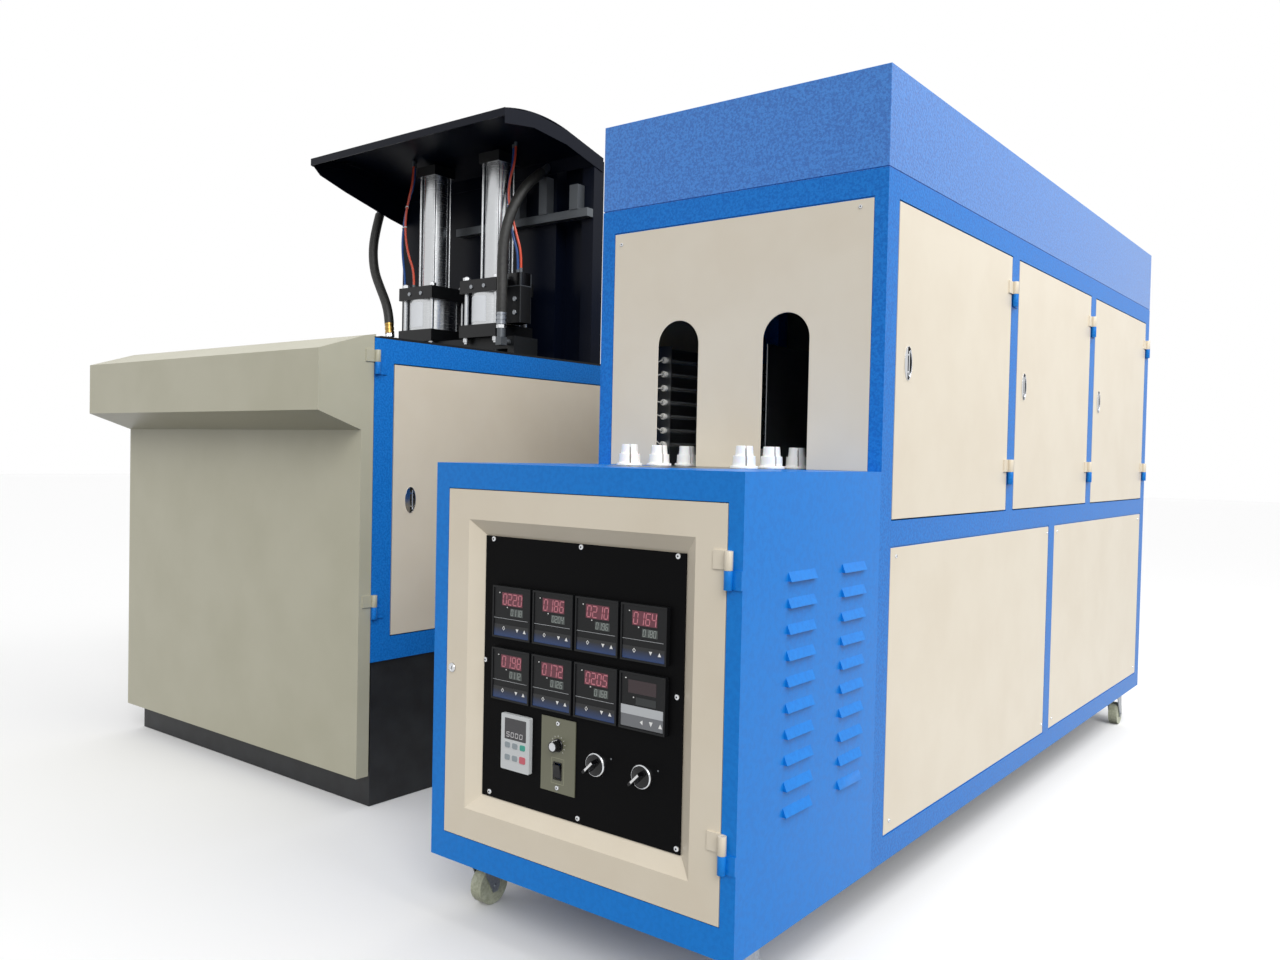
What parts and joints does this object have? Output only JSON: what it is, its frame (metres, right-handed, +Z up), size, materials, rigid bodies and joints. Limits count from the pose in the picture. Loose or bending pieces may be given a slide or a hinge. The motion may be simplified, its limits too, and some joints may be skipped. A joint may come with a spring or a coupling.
{
  "type": "blow moulding machine",
  "caption": "Semi-automatic blow moulding machine: a rotary infrared preform heater and a blow unit with clamp, cylinders and hinged console.",
  "frame": {"origin": "centre of the footprint at floor level", "axes": "+Z up, +Y from the operator's side to the rear, +X to the machine's right"},
  "size_m": [2.4662, 2.6902, 1.9474],
  "materials": {
    "hammer_blue": "hammered",
    "machine_beige": "satin",
    "console_grey": "satin",
    "black_paint": "satin",
    "navy_paint": "gloss",
    "panel_black": "satin",
    "instrument_black": "matte",
    "keypad_grey": "matte",
    "knob_black": "gloss",
    "chrome": "polished",
    "bright_steel": "brushed",
    "plate_steel": "brushed",
    "zinc": "satin",
    "mould_aluminium": "machined",
    "cap_dark": "anodised",
    "holder_white": "matte",
    "lamp_quartz": "clear",
    "hose_rubber": "matte",
    "tube_red": "gloss",
    "tube_blue": "gloss",
    "caster_nylon": "satin",
    "motor_grey": "satin"
  },
  "bodies": {
    "machine": {"oven_frame": "hammer_blue", "oven_hood": "hammer_blue", "control_box": "hammer_blue", "oven_table": "plate_steel", "oven_front_panel": "machine_beige", "fixed_panels": "machine_beige", "lamp_racks": "plate_steel", "lamps": "lamp_quartz", "chain_beam": "zinc", "holder_chain": "bright_steel", "preform_holders": "holder_white", "gear_motor": "motor_grey", "caster_plates": "zinc", "blow_plinth": "black_paint", "blow_frame": "hammer_blue", "cylinder_bridge": "plate_steel", "cylinder_caps": "cap_dark", "cylinder_barrels": "bright_steel", "clamp_frame": "navy_paint", "fixed_mould": "mould_aluminium", "machine_hood": "navy_paint", "back_wall": "navy_paint", "air_fittings": "zinc", "hose_left": "hose_rubber", "hose_right": "hose_rubber", "tube_left_red": "tube_red", "tube_left_blue": "tube_blue", "tube_right_red": "tube_red", "tube_right_blue": "tube_blue"},
    "control_door": {"control_door": "machine_beige", "instrument_panel": "panel_black", "panel_meters": "instrument_black", "panel_fittings": "keypad_grey"},
    "speed_knob": {"speed_knob": "knob_black"},
    "power_rocker": {"power_rocker": "knob_black"},
    "selector_1": {"selector_lever_1": "knob_black"},
    "selector_2": {"selector_lever_2": "knob_black"},
    "console_door": {"console_door": "console_grey"},
    "blow_side_door": {"blow_side_door": "machine_beige"},
    "blow_latch": {"blow_door_latch": "chrome"},
    "drive_sprocket": {"drive_sprocket": "zinc"},
    "idler_sprocket": {"idler_sprocket": "zinc"},
    "nozzle_1": {"nozzle_1": "bright_steel"},
    "nozzle_2": {"nozzle_2": "bright_steel"},
    "stretch_rod_1": {"stretch_rod_1": "chrome"},
    "stretch_rod_2": {"stretch_rod_2": "chrome"},
    "clamp": {"moving_platen": "navy_paint", "moving_mould": "mould_aluminium"},
    "side_door_1": {"side_door_1": "machine_beige"},
    "latch_1": {"door_latch_1": "chrome"},
    "side_door_2": {"side_door_2": "machine_beige"},
    "latch_2": {"door_latch_2": "chrome"},
    "side_door_3": {"side_door_3": "machine_beige"},
    "latch_3": {"door_latch_3": "chrome"},
    "caster_1": {"caster_fork_1": "zinc"},
    "caster_2": {"caster_fork_2": "zinc"},
    "wheel_1": {"caster_wheel_1": "caster_nylon"},
    "wheel_2": {"caster_wheel_2": "caster_nylon"},
    "wheel_3": {"caster_wheel_3": "caster_nylon"},
    "wheel_4": {"caster_wheel_4": "caster_nylon"}
  },
  "joints": [
    {"name": "control_door_hinge", "type": "hinge", "parent": "machine", "child": "control_door", "pos_m": [1.1973, -1.33815, 0.506], "axis": [0, 0, 1], "range_deg": [0, 110]},
    {"name": "side_door_1_hinge", "type": "hinge", "parent": "machine", "child": "side_door_1", "pos_m": [1.2261, -0.12785, 1.1005], "axis": [0, 0, 1], "range_deg": [0, 110]},
    {"name": "latch_1_turn", "type": "hinge", "parent": "side_door_1", "child": "latch_1", "pos_m": [1.2168, -0.72885, 1.1005], "axis": [0, 0, 1], "range_deg": [0, 35]},
    {"name": "side_door_2_hinge", "type": "hinge", "parent": "machine", "child": "side_door_2", "pos_m": [1.2261, 0.58615, 1.1005], "axis": [0, 0, 1], "range_deg": [0, 110]},
    {"name": "latch_2_turn", "type": "hinge", "parent": "side_door_2", "child": "latch_2", "pos_m": [1.2168, -0.01485, 1.1005], "axis": [0, 0, 1], "range_deg": [0, 35]},
    {"name": "side_door_3_hinge", "type": "hinge", "parent": "machine", "child": "side_door_3", "pos_m": [1.2261, 1.30015, 1.1005], "axis": [0, 0, 1], "range_deg": [0, 110]},
    {"name": "latch_3_turn", "type": "hinge", "parent": "side_door_3", "child": "latch_3", "pos_m": [1.2168, 0.69915, 1.1005], "axis": [0, 0, 1], "range_deg": [0, 35]},
    {"name": "console_hinge", "type": "hinge", "parent": "machine", "child": "console_door", "pos_m": [-0.0534, -1.03115, 0.7], "axis": [0, 0, 1], "range_deg": [0, 100]},
    {"name": "blow_side_door_hinge", "type": "hinge", "parent": "machine", "child": "blow_side_door", "pos_m": [-0.0534, -0.07315, 0.78], "axis": [0, 0, 1], "range_deg": [0, 37]},
    {"name": "blow_latch_turn", "type": "hinge", "parent": "blow_side_door", "child": "blow_latch", "pos_m": [-0.0627, -0.90715, 0.779], "axis": [0, 0, 1], "range_deg": [0, 35]},
    {"name": "speed_turn", "type": "hinge", "parent": "control_door", "child": "speed_knob", "pos_m": [0.8333, -1.32585, 0.39012], "axis": [0, 1, 0], "range_deg": [-135, 135]},
    {"name": "rocker_tilt", "type": "hinge", "parent": "control_door", "child": "power_rocker", "pos_m": [0.8333, -1.31585, 0.3449], "axis": [1, 0, 0], "range_deg": [0, 12]},
    {"name": "selector_1_turn", "type": "hinge", "parent": "control_door", "child": "selector_1", "pos_m": [0.9228, -1.32385, 0.374], "axis": [0, 1, 0], "range_deg": [0, 90]},
    {"name": "caster_1_swivel", "type": "hinge", "parent": "machine", "child": "caster_1", "pos_m": [0.5638, -1.24085, 0.1107], "axis": [0, 0, 1], "continuous": true},
    {"name": "selector_2_turn", "type": "hinge", "parent": "control_door", "child": "selector_2", "pos_m": [1.0228, -1.32385, 0.374], "axis": [0, 1, 0], "range_deg": [0, 90]},
    {"name": "caster_2_swivel", "type": "hinge", "parent": "machine", "child": "caster_2", "pos_m": [1.1738, -1.24085, 0.1107], "axis": [0, 0, 1], "continuous": true},
    {"name": "wheel_1_roll", "type": "hinge", "parent": "caster_1", "child": "wheel_1", "pos_m": [0.5638, -1.21585, 0.0375], "axis": [1, 0, 0], "continuous": true},
    {"name": "wheel_2_roll", "type": "hinge", "parent": "caster_2", "child": "wheel_2", "pos_m": [1.1738, -1.21585, 0.0375], "axis": [1, 0, 0], "continuous": true},
    {"name": "wheel_3_roll", "type": "hinge", "parent": "machine", "child": "wheel_3", "pos_m": [0.5638, 1.22615, 0.0375], "axis": [1, 0, 0], "continuous": true},
    {"name": "wheel_4_roll", "type": "hinge", "parent": "machine", "child": "wheel_4", "pos_m": [1.1738, 1.22615, 0.0375], "axis": [1, 0, 0], "continuous": true},
    {"name": "drive_sprocket_turn", "type": "hinge", "parent": "machine", "child": "drive_sprocket", "pos_m": [0.87095, 0.97422, 0.86], "axis": [0, 0, 1], "continuous": true},
    {"name": "idler_sprocket_turn", "type": "hinge", "parent": "machine", "child": "idler_sprocket", "pos_m": [0.87095, -1.04445, 0.86], "axis": [0, 0, 1], "continuous": true},
    {"name": "nozzle_1_stroke", "type": "slide", "parent": "machine", "child": "nozzle_1", "axis": [0, 0, -1], "range_m": [0, 0.045]},
    {"name": "nozzle_2_stroke", "type": "slide", "parent": "machine", "child": "nozzle_2", "axis": [0, 0, -1], "range_m": [0, 0.045]},
    {"name": "stretch_1_stroke", "type": "slide", "parent": "machine", "child": "stretch_rod_1", "axis": [0, 0, -1], "range_m": [0, 0.3]},
    {"name": "stretch_2_stroke", "type": "slide", "parent": "machine", "child": "stretch_rod_2", "axis": [0, 0, -1], "range_m": [0, 0.3]},
    {"name": "clamp_stroke", "type": "slide", "parent": "machine", "child": "clamp", "axis": [0, -1, 0], "range_m": [0, 0.16]}
  ],
  "couplings": [
    {"joint": "idler_sprocket_turn", "follows": "drive_sprocket_turn", "ratio": 1},
    {"joint": "nozzle_2_stroke", "follows": "nozzle_1_stroke", "ratio": 1},
    {"joint": "stretch_2_stroke", "follows": "stretch_1_stroke", "ratio": 1}
  ]
}
